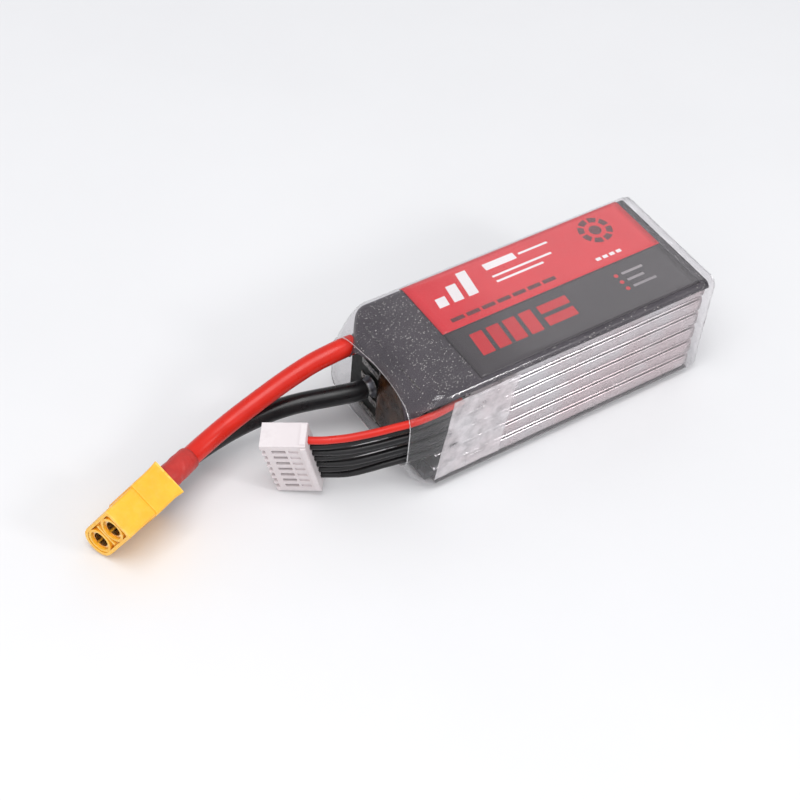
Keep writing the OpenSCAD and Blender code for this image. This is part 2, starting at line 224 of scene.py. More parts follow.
def mottle_group():
    """Two tones that drift into each other, with a gloss that drifts too."""
    tree, given, out = new_group(
        "mottle",
        [("Tone", "Color", (0.5, 0.5, 0.5, 1)), ("Second Tone", "Color", (0.4, 0.4, 0.4, 1)),
         ("Scale", "Float", 100.0), ("Smooth", "Float", 0.3), ("Rough", "Float", 0.5)],
        [("Color", "Color"), ("Roughness", "Float"), ("Mask", "Float")],
    )
    where = object_place(tree)
    drift = noise_of(tree, where, given["Scale"], detail=5.0, rough=0.6)
    mask = between(tree, drift, 0.35, 0.65)
    gloss = noise_of(tree, where, product(tree, given["Scale"], 2.7), detail=4.0)
    colour = mix_colour(tree, mask, given["Tone"], given["Second Tone"])
    roughness = between(tree, gloss, 0.3, 0.7, given["Smooth"], given["Rough"])
    tree.links.new(colour, out["Color"])
    tree.links.new(roughness, out["Roughness"])
    tree.links.new(mask, out["Mask"])
    return tree


def fleck_group():
    """Small bright flecks of mixed size scattered over a colour."""
    tree, given, out = new_group(
        "fleck",
        [("Color", "Color", (0.1, 0.1, 0.1, 1)), ("Fleck Color", "Color", (0.7, 0.7, 0.7, 1)),
         ("Scale", "Float", 3000.0), ("Amount", "Float", 0.3), ("Size", "Float", 0.3)],
        [("Color", "Color"), ("Mask", "Float")],
    )
    where = object_place(tree)
    cells = add_node(tree, "TexVoronoi", feature="F1")
    tree.links.new(where, cells.inputs["Vector"])
    tree.links.new(given["Scale"], cells.inputs["Scale"])
    pick = add_node(tree, "SeparateColor")
    tree.links.new(cells.outputs["Color"], pick.inputs[0])
    chosen = math_node(tree, "LESS_THAN", pick.outputs[0], given["Amount"])
    reach = product(tree, given["Size"], math_node(tree, "ADD", pick.outputs[1], 0.4))
    dot = math_node(tree, "LESS_THAN", cells.outputs["Distance"], reach)
    strength = product(tree, dot, chosen, math_node(tree, "POWER", pick.outputs[2], 1.5))
    return blend_out(tree, strength, given, out, "Fleck Color")


def wear_group():
    """A worn tone on outer edges, broken up by noise."""
    tree, given, out = new_group(
        "edge_wear",
        [("Color", "Color", (0.5, 0.5, 0.5, 1)), ("Worn Color", "Color", (0.8, 0.8, 0.8, 1)),
         ("Amount", "Float", 0.4), ("Scale", "Float", 900.0)],
        [("Color", "Color"), ("Mask", "Float")],
    )
    pointed = add_node(tree, "NewGeometry").outputs["Pointiness"]
    where = object_place(tree)
    breakup = noise_of(tree, where, given["Scale"], detail=4.0)
    edge = between(tree, pointed, 0.51, 0.56)
    mask = product(tree, edge, between(tree, breakup, 0.35, 0.6), given["Amount"])
    return blend_out(tree, mask, given, out, "Worn Color")


def dust_group():
    """Pale dust that gathers on faces that look up."""
    tree, given, out = new_group(
        "dust",
        [("Color", "Color", (0.5, 0.5, 0.5, 1)), ("Dust Color", "Color", (0.7, 0.68, 0.66, 1)),
         ("Amount", "Float", 0.1), ("Scale", "Float", 700.0)],
        [("Color", "Color"), ("Mask", "Float")],
    )
    up = add_node(tree, "SeparateXYZ")
    tree.links.new(add_node(tree, "NewGeometry").outputs["Normal"], up.inputs[0])
    where = object_place(tree)
    patches = between(tree, noise_of(tree, where, given["Scale"], detail=6.0, rough=0.7), 0.4, 0.75)
    facing = between(tree, up.outputs["Z"], -0.2, 1.0)
    mask = product(tree, patches, facing, given["Amount"])
    return blend_out(tree, mask, given, out, "Dust Color")


def grain_group():
    """Fine even grain, as a height."""
    tree, given, out = new_group("grain", [("Scale", "Float", 4000.0)], [("Height", "Float")])
    where = object_place(tree)
    tree.links.new(noise_of(tree, where, given["Scale"], detail=2.0, rough=0.6), out["Height"])
    return tree


def crease_group():
    """Long soft creases with sharp crests, as a height; Stretch sets how they run along each axis."""
    tree, given, out = new_group(
        "crease", [("Scale", "Float", 150.0), ("Stretch", "Vector", (1.0, 1.0, 1.0))], [("Height", "Float")]
    )
    where = object_place(tree)
    stretch = add_node(tree, "VectorMath", operation="MULTIPLY")
    tree.links.new(where, stretch.inputs[0])
    tree.links.new(given["Stretch"], stretch.inputs[1])
    crests = noise_of(tree, stretch.outputs[0], given["Scale"], rough=0.45, distortion=0.4, ridged=True)
    tree.links.new(crests, out["Height"])
    return tree


# ---- materials ----

def place_group(tree, group, links=(), **values):
    """Puts a node group in a material; values are given with _ for the blank in a socket's name."""
    node = add_node(tree, "Group")
    node.node_tree = group
    for key, value in values.items():
        socket = node.inputs[key.replace("_", " ")]
        if socket.type == "RGBA":
            value = (*value, 1)
        socket.default_value = value
    for source, label in links:
        tree.links.new(source, node.inputs[label])
    return node


def new_material(name):
    material = bpy.data.materials.new(name)
    material.use_nodes = True
    return material, material.node_tree


def bump_normal(tree, group, depth, under=None, **values):
    """The normal of a height group, depth in metres, over the normal under it."""
    source = place_group(tree, group, **values)
    bump = add_node(tree, "Bump")
    bump.inputs["Distance"].default_value = depth
    tree.links.new(source.outputs["Height"], bump.inputs["Height"])
    if under:
        tree.links.new(under, bump.inputs["Normal"])
    return bump.outputs["Normal"]


def new_finish(name, tone, second, scale, smooth, rough, metallic=0.0, flecks=None, wear=None, dust=None,
               grain=None, crease=None, **sockets):
    """A Principled material of two tones, with flecks, wear, dust, grain and creases where asked for."""
    material, tree = new_material(name)
    shader = tree.nodes["Principled BSDF"]
    shader.inputs["Metallic"].default_value = metallic
    for key, value in sockets.items():
        shader.inputs[key.replace("_", " ")].default_value = value
    base = place_group(tree, MOTTLE, Tone=tone, Second_Tone=second, Scale=scale, Smooth=smooth, Rough=rough)
    colour = base.outputs["Color"]
    for group, values in ((FLECK, flecks), (WEAR, wear), (DUST, dust)):
        if values:
            colour = place_group(tree, group, [(colour, "Color")], **values).outputs["Color"]
    tree.links.new(colour, shader.inputs["Base Color"])
    tree.links.new(base.outputs["Roughness"], shader.inputs["Roughness"])
    normal = None
    for group, values in ((CREASE, crease), (GRAIN, grain)):
        if values:
            normal = bump_normal(tree, group, under=normal, **values)
    if normal:
        tree.links.new(normal, shader.inputs["Normal"])
    return material


def speckled_paper():
    return new_finish(
        "speckled_paper", (0.040, 0.033, 0.041), (0.058, 0.049, 0.059), 120, 0.30, 0.42,
        flecks=dict(Fleck_Color=(0.62, 0.60, 0.56), Scale=2500.0, Amount=0.6, Size=0.27),
        grain=dict(Scale=3200.0, depth=0.000012), Specular_IOR_Level=0.5, Coat_Weight=0.2, Coat_Roughness=0.3,
    )


def label_ink(name, tone, second):
    return new_finish(
        name, tone, second, 60, 0.30, 0.36, grain=dict(Scale=2500.0, depth=0.0000005),
        Coat_Weight=0.1, Coat_Roughness=0.25,
    )


def pouch_foil_and_painted_reflection():
    # The pinkish second tone is a painted reflection of the red things beside the pack, drifting in patches
    # over the grey foil.
    return new_finish(
        "pouch_foil_and_painted_reflection", (0.62, 0.61, 0.62), (0.58, 0.48, 0.49), 45, 0.22, 0.32, metallic=0.94,
        grain=dict(Scale=2600.0, depth=0.000001),
    )


def silicone(name, tone, second):
    return new_finish(
        name, tone, second, 90, 0.26, 0.36, grain=dict(Scale=5200.0, depth=0.000002),
        dust=dict(Dust_Color=(0.70, 0.60, 0.58), Amount=0.01, Scale=300.0), Specular_IOR_Level=0.36,
    )


def sleeve(name, tone, second):
    return new_finish(
        name, tone, second, 260, 0.36, 0.56, crease=dict(Scale=420.0, Stretch=(1.6, 0.7, 0.7), depth=0.0001),
        grain=dict(Scale=4200.0, depth=0.00001), Specular_IOR_Level=0.5,
    )


def yellow_nylon():
    return new_finish(
        "yellow_nylon", (0.95, 0.50, 0.030), (0.90, 0.44, 0.022), 160, 0.30, 0.42,
        wear=dict(Worn_Color=(1.0, 0.72, 0.2), Amount=0.5, Scale=1100.0),
        dust=dict(Dust_Color=(0.9, 0.8, 0.6), Amount=0.05, Scale=800.0),
        grain=dict(Scale=3600.0, depth=0.000004), Coat_Weight=0.1, Coat_Roughness=0.3,
    )


def white_nylon():
    # The tones are painted shade: the white nylon is darkened to a mauve grey for the plug's shaded wide
    # face.
    return new_finish(
        "white_nylon", (0.70, 0.64, 0.65), (0.66, 0.60, 0.61), 60, 0.32, 0.45,
        wear=dict(Worn_Color=(0.92, 0.90, 0.89), Amount=0.12, Scale=1000.0),
        grain=dict(Scale=3800.0, depth=0.000002), Specular_IOR_Level=0.5,
    )


def bare_metal(name, tone, second, smooth, rough):
    return new_finish(
        name, tone, second, 500, smooth, rough, metallic=1.0,
        wear=dict(Worn_Color=(0.95, 0.93, 0.88), Amount=0.3, Scale=1500.0),
        grain=dict(Scale=3000.0, depth=0.000008),
    )


def board_resist_painted_shade():
    # The near-black tone is painted shade, darker than real solder resist, so that the mouth of the pack
    # reads dark.
    return new_finish(
        "board_resist_painted_shade", (0.002, 0.003, 0.002), (0.003, 0.004, 0.003), 300, 0.3, 0.45,
        flecks=dict(Fleck_Color=(0.35, 0.30, 0.18), Scale=900.0, Amount=0.12, Size=0.25),
        grain=dict(Scale=2400.0, depth=0.00001), Specular_IOR_Level=0.12,
    )


def amber_film_painted_shade():
    # The tones are painted shade: the amber tape is darkened nearly to black, keeping only a faint brown
    # drift of its own colour.
    return new_finish(
        "amber_film_painted_shade", (0.010, 0.004, 0.002), (0.055, 0.019, 0.004), 260, 0.12, 0.3,
        crease=dict(Scale=220.0, Stretch=(1.0, 0.6, 1.0), depth=0.00025),
        grain=dict(Scale=2600.0, depth=0.000008),
        Coat_Weight=0.12, Coat_Roughness=0.1, Specular_IOR_Level=0.2,
    )


def dark_foam():
    return new_finish(
        "dark_foam", (0.045, 0.045, 0.048), (0.075, 0.075, 0.08), 700, 0.8, 0.95,
        flecks=dict(Fleck_Color=(0.01, 0.01, 0.01), Scale=2200.0, Amount=0.7, Size=0.5),
        grain=dict(Scale=2200.0, depth=0.0001), Sheen_Weight=0.1,
    )


def pad_adhesive():
    return new_finish(
        "pad_adhesive", (0.72, 0.71, 0.68), (0.62, 0.61, 0.58), 300, 0.45, 0.6,
        grain=dict(Scale=2000.0, depth=0.00002),
    )


def label_stock():
    return new_finish(
        "label_stock", (0.62, 0.62, 0.63), (0.55, 0.55, 0.57), 80, 0.28, 0.4,
        grain=dict(Scale=2500.0, depth=0.000006), Coat_Weight=0.3, Coat_Roughness=0.12,
    )


def milky_tape():
    """Tape that lets some of what is under it show, by an amount that drifts over it."""
    material = new_finish(
        "milky_tape", (0.86, 0.79, 0.80), (0.92, 0.90, 0.91), 60, 0.2, 0.34,
        crease=dict(Scale=110.0, Stretch=(1.0, 1.0, 1.0), depth=0.00022),
        grain=dict(Scale=2600.0, depth=0.000002), Coat_Weight=0.4, Coat_Roughness=0.12,
    )
    tree = material.node_tree
    cover = place_group(tree, MOTTLE, Scale=110.0, Smooth=0.28, Rough=0.72)
    tree.links.new(cover.outputs["Roughness"], tree.nodes["Principled BSDF"].inputs["Alpha"])
    return material


def clear_plastic(name, crease_scale, depth, haze):
    """Thin clear shrink film: it shows what is behind it and mirrors the room, more at a slant."""
    material, tree = new_material(name)
    tree.nodes.remove(tree.nodes["Principled BSDF"])
    normal = bump_normal(tree, CREASE, depth, Scale=crease_scale, Stretch=(0.5, 1.0, 1.0))
    gloss = add_node(tree, "BsdfGlossy")
    gloss.inputs["Roughness"].default_value = 0.09
    gloss.inputs["Color"].default_value = (1, 1, 1, 1)
    clear = add_node(tree, "BsdfTransparent")
    clear.inputs["Color"].default_value = (0.975, 0.97, 0.975, 1)
    slant = add_node(tree, "LayerWeight")
    for node in (gloss, slant):
        tree.links.new(normal, node.inputs["Normal"])
    steep = math_node(tree, "POWER", slant.outputs["Facing"], 4.0)
    share = math_node(tree, "MULTIPLY_ADD", steep, 0.9, haze, clamp=True)
    mix = add_node(tree, "MixShader")
    for socket, source in zip(mix.inputs, (share, clear.outputs[0], gloss.outputs[0])):
        tree.links.new(source, socket)
    tree.links.new(mix.outputs[0], tree.nodes["Material Output"].inputs["Surface"])
    return material


MOTTLE = mottle_group()
FLECK = fleck_group()
WEAR = wear_group()
DUST = dust_group()
GRAIN = grain_group()
CREASE = crease_group()

PAPER = speckled_paper()
RED_INK = label_ink("label_red", (0.68, 0.030, 0.042), (0.63, 0.026, 0.037))
CHARCOAL_INK = label_ink("label_charcoal", (0.050, 0.044, 0.048), (0.060, 0.053, 0.058))
WHITE_INK = label_ink("print_white", (0.86, 0.84, 0.84), (0.80, 0.78, 0.78))
DARK_INK = label_ink("print_dark", (0.10, 0.030, 0.035), (0.14, 0.04, 0.045))
PRINT_RED = label_ink("print_red", (0.58, 0.026, 0.034), (0.50, 0.022, 0.03))
PALE_INK = label_ink("print_pale", (0.32, 0.29, 0.30), (0.26, 0.24, 0.25))
FOIL = pouch_foil_and_painted_reflection()
RED_SILICONE = silicone("red_silicone", (0.64, 0.018, 0.008), (0.58, 0.015, 0.007))
BLACK_SILICONE = silicone("black_silicone", (0.005, 0.005, 0.006), (0.008, 0.007, 0.008))
RED_SLEEVE = sleeve("red_sleeve", (0.50, 0.026, 0.020), (0.40, 0.020, 0.016))
BLACK_SLEEVE = sleeve("black_sleeve", (0.014, 0.013, 0.014), (0.024, 0.022, 0.023))
YELLOW = yellow_nylon()
WHITE = white_nylon()
GOLD = bare_metal("gold_plate", (0.90, 0.60, 0.20), (0.80, 0.50, 0.15), 0.22, 0.38)
TIN = bare_metal("tin_plate", (0.70, 0.70, 0.72), (0.58, 0.58, 0.60), 0.25, 0.42)
# The nickel, aluminium and solder tones are painted shade: far darker than bare metal, so that the mouth of
# the pack reads dark.
NICKEL = bare_metal("nickel_strip_painted_shade", (0.08, 0.075, 0.07), (0.05, 0.047, 0.045), 0.4, 0.6)
ALUMINIUM = bare_metal("aluminium_strip_painted_shade", (0.10, 0.10, 0.105), (0.07, 0.07, 0.075), 0.4, 0.6)
SOLDER = bare_metal("solder", (0.09, 0.09, 0.10), (0.06, 0.06, 0.07), 0.3, 0.45)
BOARD = board_resist_painted_shade()
AMBER = amber_film_painted_shade()
FOAM = dark_foam()
PAD = pad_adhesive()
STOCK = label_stock()
TAPE = milky_tape()
FILM = clear_plastic("clear_film", 60.0, 0.00004, 0.02)
FILM_CRINKLED = clear_plastic("film_crinkled", 230.0, 0.0005, 0.08)
FILM_EDGE = clear_plastic("film_edge", 400.0, 0.0002, 0.45)


# ---- mesh work ----

def new_piece(name, points, faces, material, slot=None, nodes=(), smooth=True, place=None):
    """A mesh from points in millimetres, with outward faces, riding on the pack."""
    build = bmesh.new()
    matrix = place or Matrix.Identity(4)
    corners = [build.verts.new((matrix @ Vector(p)) * MM) for p in points]
    for face in faces:
        build.faces.new([corners[i] for i in face])
    return finish_piece(name, build, material, nodes, smooth)


def mesh_of(build, name):
    mesh = bpy.data.meshes.new(name)
    build.to_mesh(mesh)
    build.free()
    return mesh


def finish_piece(name, build, material, nodes=(), smooth=True):
    bmesh.ops.recalc_face_normals(build, faces=build.faces[:])
    mesh = mesh_of(build, name)
    mesh.materials.append(material)
    for polygon in mesh.polygons:
        polygon.use_smooth = smooth
    return settle(add_object(name, mesh), nodes)


def settle(piece, nodes=()):
    """The piece rides on the pack and stands for the CAD nodes it replaces."""
    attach(piece, "root")
    if nodes:
        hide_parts(*nodes)
    return piece


def thicken(piece, thickness):
    """Thickens a skin inwards."""
    solid = piece.modifiers.new("thickness", "SOLIDIFY")
    solid.thickness = thickness * MM
    solid.offset = -1.0


def soften_edges(piece, width):
    bevel = piece.modifiers.new("soft_edges", "BEVEL")
    bevel.width = width * MM
    bevel.segments = 2
    bevel.limit_method = "ANGLE"
    bevel.angle_limit = radians(35)
    bevel.harden_normals = True
    piece.modifiers.new("even_shading", "WEIGHTED_NORMAL").keep_sharp = True


def carve(piece, build, operation="DIFFERENCE"):
    """Cuts the closed mesh in build out of piece, or joins it on."""
    bmesh.ops.recalc_face_normals(build, faces=build.faces[:])
    cutter = add_object("cutter", mesh_of(build, "cutter"))
    step = piece.modifiers.new("carve", "BOOLEAN")
    step.operation = operation
    step.solver = "EXACT"
    step.object = cutter
    bpy.context.view_layer.update()
    carved = piece.evaluated_get(bpy.context.evaluated_depsgraph_get())
    result = bpy.data.meshes.new_from_object(carved)
    piece.modifiers.remove(step)
    piece.data = result
    bpy.data.objects.remove(cutter)


def grid_faces(rows, columns, round_trip=False):
    """Quads between the points of a grid that is stored row by row."""
    faces = []
    for i in range(rows - 1):
        here, there = i * columns, (i + 1) * columns
        for k in range(columns if round_trip else columns - 1):
            n = (k + 1) % columns
            faces.append((here + k, here + n, there + n, there + k))
    return faces


def closed_tube_faces(rings, sides):
    """Faces of a row of rings that joins up with itself."""
    last = (rings - 1) * sides
    faces = grid_faces(rings, sides, round_trip=True)
    return faces + [(last + k, last + (k + 1) % sides, (k + 1) % sides, k) for k in range(sides)]


def new_sheet(name, grid, material, thickness, **where):
    """A thin sheet whose upper side runs through a grid of points."""
    points = [p for row in grid for p in row]
    piece = new_piece(name, points, grid_faces(len(grid), len(grid[0])), material, **where)
    thicken(piece, thickness)
    return piece


def new_loft(name, rings, material, closed_ends=True, **where):
    """A skin through rings of equal point counts."""
    count = len(rings[0])
    points = [p for ring in rings for p in ring]
    faces = grid_faces(len(rings), count, round_trip=True)
    if closed_ends:
        faces += [tuple(range(count)), tuple(range(len(points) - count, len(points)))]
    return new_piece(name, points, faces, material, **where)


def rounded_ring(x, y0, y1, z0, z1, radii, corner_steps=6, y_steps=1, z_steps=1):
    """A rounded rectangle in Y and Z at x.

    The radii are those of the far top, near top, near bottom and far bottom corners.
    """
    centres = [
        (y1 - radii[0], z1 - radii[0], 0), (y0 + radii[1], z1 - radii[1], 90),
        (y0 + radii[2], z0 + radii[2], 180), (y1 - radii[3], z0 + radii[3], 270),
    ]
    arcs = []
    for (y, z, start), r in zip(centres, radii):
        angles = [radians(start + 90 * k / corner_steps) for k in range(corner_steps + 1)]
        arcs.append([(y + r * cos(a), z + r * sin(a)) for a in angles])
    ring = []
    for i, arc in enumerate(arcs):
        ring += arc
        steps = y_steps if i % 2 == 0 else z_steps
        start, end = arc[-1], arcs[(i + 1) % 4][0]
        ring += [tuple(a + (b - a) * k / steps for a, b in zip(start, end)) for k in range(1, steps)]
    return [(x, y, z) for y, z in ring]


def add_box(build, low, high, place):
    corners = [build.verts.new((place @ Vector((x, y, z))) * MM)
               for x in (low[0], high[0]) for y in (low[1], high[1]) for z in (low[2], high[2])]
    for face in ((0, 1, 3, 2), (4, 6, 7, 5), (0, 4, 5, 1), (2, 3, 7, 6), (0, 2, 6, 4), (1, 5, 7, 3)):
        build.faces.new([corners[i] for i in face])


def add_turned(build, profile, y, z, place=None, sides=40, closed=False):
    """A turned body along X through (x, radius) pairs; a closed profile makes a ring with a hole."""
    matrix = place or Matrix.Identity(4)
    rings = []
    for x, radius in profile:
        rings.append([
            build.verts.new((matrix @ Vector((x, y + radius * cos(a), z + radius * sin(a)))) * MM)
            for a in (tau * k / sides for k in range(sides))
        ])
    pairs = list(zip(rings, rings[1:])) + ([(rings[-1], rings[0])] if closed else [])
    for first, second in pairs:
        for k in range(sides):
            build.faces.new([first[k], first[(k + 1) % sides], second[(k + 1) % sides], second[k]])
    if not closed:
        build.faces.new(rings[0])
        build.faces.new(rings[-1])


def blended(stations, x):
    """The station values at x, on a smooth curve through the stations."""
    xs = [s[0] for s in stations]
    if x <= xs[0]:
        return list(stations[0][1:])
    if x >= xs[-1]:
        return list(stations[-1][1:])
    i = max(k for k in range(len(xs) - 1) if xs[k] <= x)
    t = (x - xs[i]) / (xs[i + 1] - xs[i])
    before, after = stations[max(i - 1, 0)], stations[min(i + 2, len(xs) - 1)]
    start, end = stations[i], stations[i + 1]
    return [
        0.5 * (2 * b + (c - a) * t + (2 * a - 5 * b + 4 * c - d) * t * t + (3 * b - a - 3 * c + d) * t ** 3)
        for a, b, c, d in zip(before[1:], start[1:], end[1:], after[1:])
    ]


def wave(x, y, z, size, seed=0.0):
    """Smooth noise from about -1 to 1 with humps of that size in millimetres."""
    return noise.noise(Vector((x / size + seed, y / size - seed, z / size + 0.7 * seed)))


# ---- cords ----

def new_cord(name, route, diameter, material, slot, node):
    """A round lead along one open curve."""
    curve = bpy.data.curves.new(name, "CURVE")
    curve.dimensions = "3D"
    curve.bevel_depth = diameter / 2 * MM
    curve.bevel_resolution = 6
    curve.resolution_u = 5
    curve.use_fill_caps = True
    spline = curve.splines.new("BEZIER")
    spline.bezier_points.add(len(route) - 1)
    for point, at in zip(spline.bezier_points, route):
        point.co = Vector(at) * MM
        point.handle_left_type = "AUTO"
        point.handle_right_type = "AUTO"
    curve.materials.append(material)
    return settle(add_object(name, curve), [node])


def wire_route(i):
    """Route of balance wire i, from 0 at the top to the lowest."""
    share = i / (WIRE_COUNT - 1)
    last = len(TOP_WIRE_ROUTE) - 1
    route = []
    for k, (top, low) in enumerate(zip(TOP_WIRE_ROUTE, LOW_WIRE_ROUTE)):
        point = [a * (1 - share) + b * share for a, b in zip(top, low)]
        point[1] += WIRE_BOW[i] * sin(pi * k / last)
        route.append(tuple(point))
    return route


# ---- power connector ----

def sleeve_piece(name, z, material, slot, node, seed):
    """A shrunk sleeve over a power lead, drawn in at its free end and slightly uneven."""
    steps, sides, bore, gap, draw_in = 26, 36, 2.26, 0.1, 2.2
    turns = [(cos(a), sin(a)) for a in (tau * k / sides for k in range(sides))]
    outer = []
    for i in range(steps + 1):
        x = gap + (SLEEVE_L - gap) * i / steps
        close = max(0.0, (x - SLEEVE_L + draw_in) / draw_in)
        shoulder = max(0.0, 1 - (x - gap) / 1.0)
        radius = SLEEVE_D / 2 - 0.10 - 0.22 * close * close - 0.12 * shoulder
        ring = []
        for c, s in turns:
            r = radius + 0.10 * wave(x, 2 * c, 2 * s, 1.6, seed) + 0.05 * sin(1.9 * x + seed)
            r = max(r, bore + 0.08)
            ragged = 0.15 * wave(0, c, s, 0.9, seed) * (i == steps)
            ring.append((x + ragged, r * c, z + r * s))
        outer.append(ring)
    inner = [[(ring[0][0], bore * c, z + bore * s) for c, s in turns] for ring in outer]
    rings = outer + inner[::-1]
    points = [p for ring in rings for p in ring]
    faces = closed_tube_faces(len(rings), sides)
    return new_piece(name, points, faces, material, slot=slot, nodes=[node], place=POWER_PLACE)


def power_ring(x, thickness, height, low_r, top_r, flare=0.0):
    """Cross-section with a round lower end and a square top; flare widens its top corners."""
    half, reach = thickness / 2, height / 2
    ring = rounded_ring(x, -half, half, -reach, reach, (top_r, top_r, low_r, low_r), 8, 2, 6)
    return [(x, y * (1 + flare * max(0.0, z / reach) ** 4), z) for x, y, z in ring]


def power_shell():
    """The yellow housing: square body, narrower nose, two raised sockets and grip ribs."""
    length, nose, t, w = 16.0, 8.0, 8.1, 16.1
    socket_r, lip_r, lip_x = 2.35, 2.95, (-length + 0.1, -length + 1.6)
    socket_z = (-POWER_PITCH / 2, POWER_PITCH / 2)
    stations = [
        power_ring(-length, t - 1.0, w - 1.0, 3.3, 0.6),
        power_ring(-length + 0.3, t - 0.7, w - 0.7, 3.5, 0.7),
        power_ring(-nose - 0.02, t - 0.6, w - 0.6, 3.5, 0.7),
        power_ring(-nose, t - 0.05, w - 0.05, 3.7, 0.8),
        power_ring(-nose + 0.4, t, w, 3.8, 0.8),
        power_ring(-2.2, t, w, 3.8, 0.7),
        power_ring(-0.6, t, w, 3.8, 0.5, 0.06),
        power_ring(0.0, t - 0.1, w, 3.8, 0.5, 0.11),
    ]
    shell = new_loft("power_housing_shell", stations, YELLOW, slot="yellow_nylon",
                     nodes=["power_housing"], place=POWER_PLACE)
    bores = bmesh.new()
    for z in socket_z:
        add_turned(bores, [(-length - 1, socket_r), (1, socket_r)], 0, z, POWER_PLACE)
    carve(shell, bores)
    recess = bmesh.new()
    ring = [(y, z) for _, y, z in power_ring(0, t - 2.3, w - 2.3, 2.9, 0.8)]
    front, back = (
        [recess.verts.new((POWER_PLACE @ Vector((x, y, z))) * MM) for y, z in ring]
        for x in (-length - 1, -length + 1.1)
    )
    recess.faces.new(front)
    recess.faces.new(back)
    for k in range(len(ring)):
        n = (k + 1) % len(ring)
        recess.faces.new([front[k], front[n], back[n], back[k]])
    carve(shell, recess)
    grips = bmesh.new()
    for x in (-6.4, -4.9, -3.4):
        for side in (-1, 1):
            low, high = sorted((side * (t / 2 - 0.4), side * (t / 2 + 1)))
            add_box(grips, (x - 0.35, low, -4.5), (x + 0.35, high, 4.5), POWER_PLACE)
    carve(shell, grips)
    lips = bmesh.new()
    profile = [(lip_x[0], socket_r + 0.01), (lip_x[0], lip_r), (lip_x[1], lip_r), (lip_x[1], socket_r + 0.01)]
    for z in socket_z:
        add_turned(lips, profile, 0, z, POWER_PLACE, closed=True)
    add_box(lips, (-length + 0.2, -2.6, -0.32), (lip_x[1], 2.6, 0.32), POWER_PLACE)
    carve(shell, lips, "UNION")
    soften_edges(shell, 0.12)
    return shell


# ---- balance connector ----

def balance_shell():
    """The white housing: one cavity and one window to each way, a comb edge in front, two guide ribs."""
    length, t, w, cavity = 9.8, 5.75, 19.9, 0.9
    near, far, end = -t / 2, t / 2, w / 2
    ways = [WAY_PITCH * ((WIRE_COUNT - 1) / 2 - i) for i in range(WIRE_COUNT)]

    def boxes(pairs):
        build = bmesh.new()
        for low, high in pairs:
            add_box(build, low, high, BALANCE_PLACE)
        return build

    shell = finish_piece("balance_housing_shell", boxes([((-length, near, -end), (0, far, end))]), WHITE,
                         nodes=["balance_housing"], smooth=False)
    ribs = []
    for side in (-1, 1):
        rib_z = side * (end - 1.6)
        ribs.append(((-length + 0.3, far - 0.3, rib_z - 0.4), (-0.4, far + 0.5, rib_z + 0.4)))
        z0, z1 = sorted((side * (end - 0.5), side * (end + 0.28)))
        ribs.append(((-1.3, near + 0.4, z0), (-0.05, far - 0.4, z1)))
    ribs.append(((-1.2, near - 0.3, -end + 0.8), (-0.1, near + 0.2, end - 0.8)))
    carve(shell, boxes(ribs), "UNION")
    carve(shell, boxes([((-length - 1, -cavity, z - cavity), (1, cavity, z + cavity)) for z in ways]))
    windows = []
    for z in ways:
        windows += [
            ((-7.6, near - 1, z - 0.62), (-4.6, -0.7, z + 0.62)),
            ((-4.0, near - 1, z - 0.62), (-1.9, near + 0.35, z + 0.62)),
            ((-length - 1, near - 1, z - 0.75), (-length + 0.9, near + 0.95, z + 0.75)),
        ]
    for i in range(WIRE_COUNT + 1):
        z = WAY_PITCH * (WIRE_COUNT / 2 - i)
        if abs(z) < end - 1.3:
            windows.append(((-length - 1, near + 1.3, z - 0.25), (-length + 1.4, far - 0.9, z + 0.25)))
    carve(shell, boxes(windows))
    soften_edges(shell, 0.1)
    return shell


def paint(node, material):
    """Gives a CAD node that stays as it is its own finish."""
    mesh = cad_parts[node].data
    mesh.materials.clear()
    mesh.materials.append(material)


def build_leads():
    """Both power leads and all balance wires, with what is on their far ends."""
    shell = power_shell()
    way = POWER_PITCH / 2
    sleeves = (
        sleeve_piece("lead_sleeve_red", way, RED_SLEEVE, "red_sleeve", "heat_shrink_red", 3.1),
        sleeve_piece("lead_sleeve_black", -way, BLACK_SLEEVE, "black_sleeve", "heat_shrink_black", 7.7),
    )
    red = new_cord("power_lead_red", RED_ROUTE, LEAD_D, RED_SILICONE, "red_silicone", "main_lead_red")
    black = new_cord("power_lead_black", BLACK_ROUTE, LEAD_D, BLACK_SILICONE, "black_silicone",
                     "main_lead_black")
    plug = balance_shell()
    for i in range(WIRE_COUNT):
        route = wire_route(i)
        finish = (BLACK_SILICONE, "black_silicone") if i else (RED_SILICONE, "red_silicone")
        wire = new_cord(f"balance_lead_{i + 1}", route, WIRE_D, *finish, f"balance_wire_{i + 1}")
    paint("power_contacts", GOLD)
    paint("balance_contacts", TIN)


# ---- cells and what joins them ----

def pouch_body(i, z_mid, half_y):
    """The rounded foil body of a cell, its long sides slightly uneven."""
    half_z, corner_r, flat_side = CELL_T / 2, 1.7, 13
    ends = [(0.0, 1.1), (0.25, 0.45), (0.9, 0.08), (2.0, 0.0)]
    xs = [(CELL_X[0] + d, inset) for d, inset in ends]
    xs += [(CELL_X[0] + 2 + 2.5 * k, 0.0) for k in range(1, 25)]
    xs += [(CELL_X[1] - d, inset) for d, inset in ends[::-1]]
    rings = []
    for x, inset in xs:
        reach, high = half_y - 0.5 * inset, half_z - inset
        ring = []
        for _, y, z in rounded_ring(x, -reach, reach, -high, high, (corner_r - inset,) * 4, 6, 8, 3):
            hollow = 0.10 * (1 + wave(x, y, z + 7 * i, 5.0, 1.3 * i))
            ring.append((x, y - hollow * copysign(1, y) * (abs(y) > flat_side), z + z_mid))
        rings.append(ring)
    new_loft(f"pouch_{i + 1}", rings, FOIL, slot="pouch", nodes=[f"cell_{i + 1}"])


